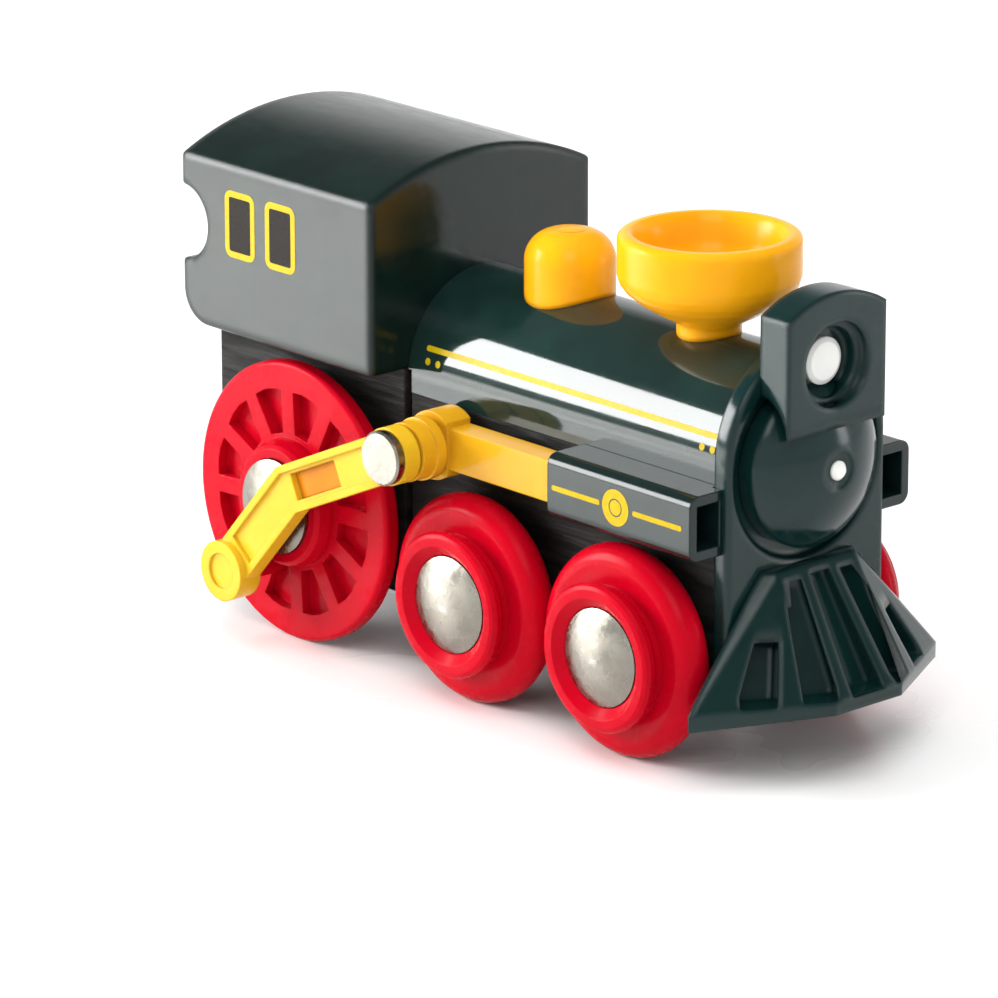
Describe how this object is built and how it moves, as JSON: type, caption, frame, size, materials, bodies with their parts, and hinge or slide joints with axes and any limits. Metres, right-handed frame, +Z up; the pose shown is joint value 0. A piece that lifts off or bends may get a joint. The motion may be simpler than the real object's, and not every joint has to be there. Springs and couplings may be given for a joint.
{
  "type": "toy steam locomotive",
  "caption": "Wooden push-along toy steam locomotive with boiler, cab, cup funnel, cowcatcher, red wheels with metal caps, swinging connecting rods and sliding piston bars.",
  "frame": {"origin": "centre of the footprint, on the floor under the wheels", "axes": "+X towards the cowcatcher, +Y to the locomotive's left, +Z up"},
  "size_m": [0.0826, 0.0394, 0.0487],
  "materials": {
    "chassis_wood": "matt black lacquer over visible grain",
    "cab_paint": "gloss dark grey-green lacquer",
    "boiler_paint": "gloss dark grey-green lacquer",
    "front_plastic": "gloss moulded",
    "white_plastic": "gloss moulded",
    "cylinder_plastic": "gloss moulded",
    "yellow_plastic": "gloss moulded",
    "cup_plastic": "satin moulded",
    "magnet": "nickel plated",
    "steel": "drawn wire",
    "red_plastic": "gloss moulded",
    "nickel": "nickel plated, pressed",
    "rod_plastic": "gloss moulded",
    "piston_plastic": "gloss moulded"
  },
  "bodies": {
    "frame": {"chassis": "chassis_wood", "cab": "cab_paint", "boiler": "boiler_paint", "front_plate": "front_plastic", "smokebox_door": "front_plastic", "door_knob": "white_plastic", "headlamp_housing": "front_plastic", "headlamp_lens": "white_plastic", "cowcatcher": "front_plastic", "cylinder_right": "cylinder_plastic", "cylinder_left": "cylinder_plastic", "dome": "yellow_plastic", "funnel": "yellow_plastic", "coupling_cup": "cup_plastic", "coupling_magnet": "magnet", "coupling_pin": "steel"},
    "rear_wheelset": {"rear_axle": "steel", "rear_wheel_right": "red_plastic", "rear_wheel_left": "red_plastic", "rear_cap_right": "nickel", "rear_cap_left": "nickel", "crank_pin_right": "red_plastic", "crank_pin_left": "red_plastic"},
    "middle_wheelset": {"middle_axle": "steel", "middle_wheel_right": "red_plastic", "middle_wheel_left": "red_plastic", "middle_cap_right": "nickel", "middle_cap_left": "nickel"},
    "front_wheelset": {"front_axle": "steel", "front_wheel_right": "red_plastic", "front_wheel_left": "red_plastic", "front_cap_right": "nickel", "front_cap_left": "nickel"},
    "rod_right": {"connecting_rod_right": "rod_plastic", "crosshead_pin_right": "nickel"},
    "rod_left": {"connecting_rod_left": "rod_plastic", "crosshead_pin_left": "nickel"},
    "piston_bar_right": {"piston_right": "piston_plastic"},
    "piston_bar_left": {"piston_left": "piston_plastic"}
  },
  "joints": [
    {"name": "rear_wheels_turn", "type": "hinge", "parent": "frame", "child": "rear_wheelset", "pos_m": [-0.02315, 0, 0.0137], "axis": [0, 1, 0], "continuous": true},
    {"name": "middle_wheels_turn", "type": "hinge", "parent": "frame", "child": "middle_wheelset", "pos_m": [0.0019, 0, 0.01], "axis": [0, 1, 0], "continuous": true},
    {"name": "front_wheels_turn", "type": "hinge", "parent": "frame", "child": "front_wheelset", "pos_m": [0.0224, 0, 0.01], "axis": [0, 1, 0], "continuous": true},
    {"name": "rod_right_turns_on_crank", "type": "hinge", "parent": "rear_wheelset", "child": "rod_right", "pos_m": [-0.02647, -0.018, 0.00731], "axis": [0, 1, 0], "continuous": true},
    {"name": "rod_left_turns_on_crank", "type": "hinge", "parent": "rear_wheelset", "child": "rod_left", "pos_m": [-0.02647, 0.018, 0.00731], "axis": [0, 1, 0], "continuous": true},
    {"name": "piston_right_slides", "type": "slide", "parent": "frame", "child": "piston_bar_right", "axis": [1, 0, 0], "range_m": [-0.0012, 0.0143]},
    {"name": "piston_left_slides", "type": "slide", "parent": "frame", "child": "piston_bar_left", "axis": [1, 0, 0], "range_m": [-0.0012, 0.0143]}
  ],
  "couplings": [
    {"joint": "rod_right_turns_on_crank", "follows": "rear_wheels_turn", "ratio": -1},
    {"joint": "rod_left_turns_on_crank", "follows": "rear_wheels_turn", "ratio": -1}
  ]
}
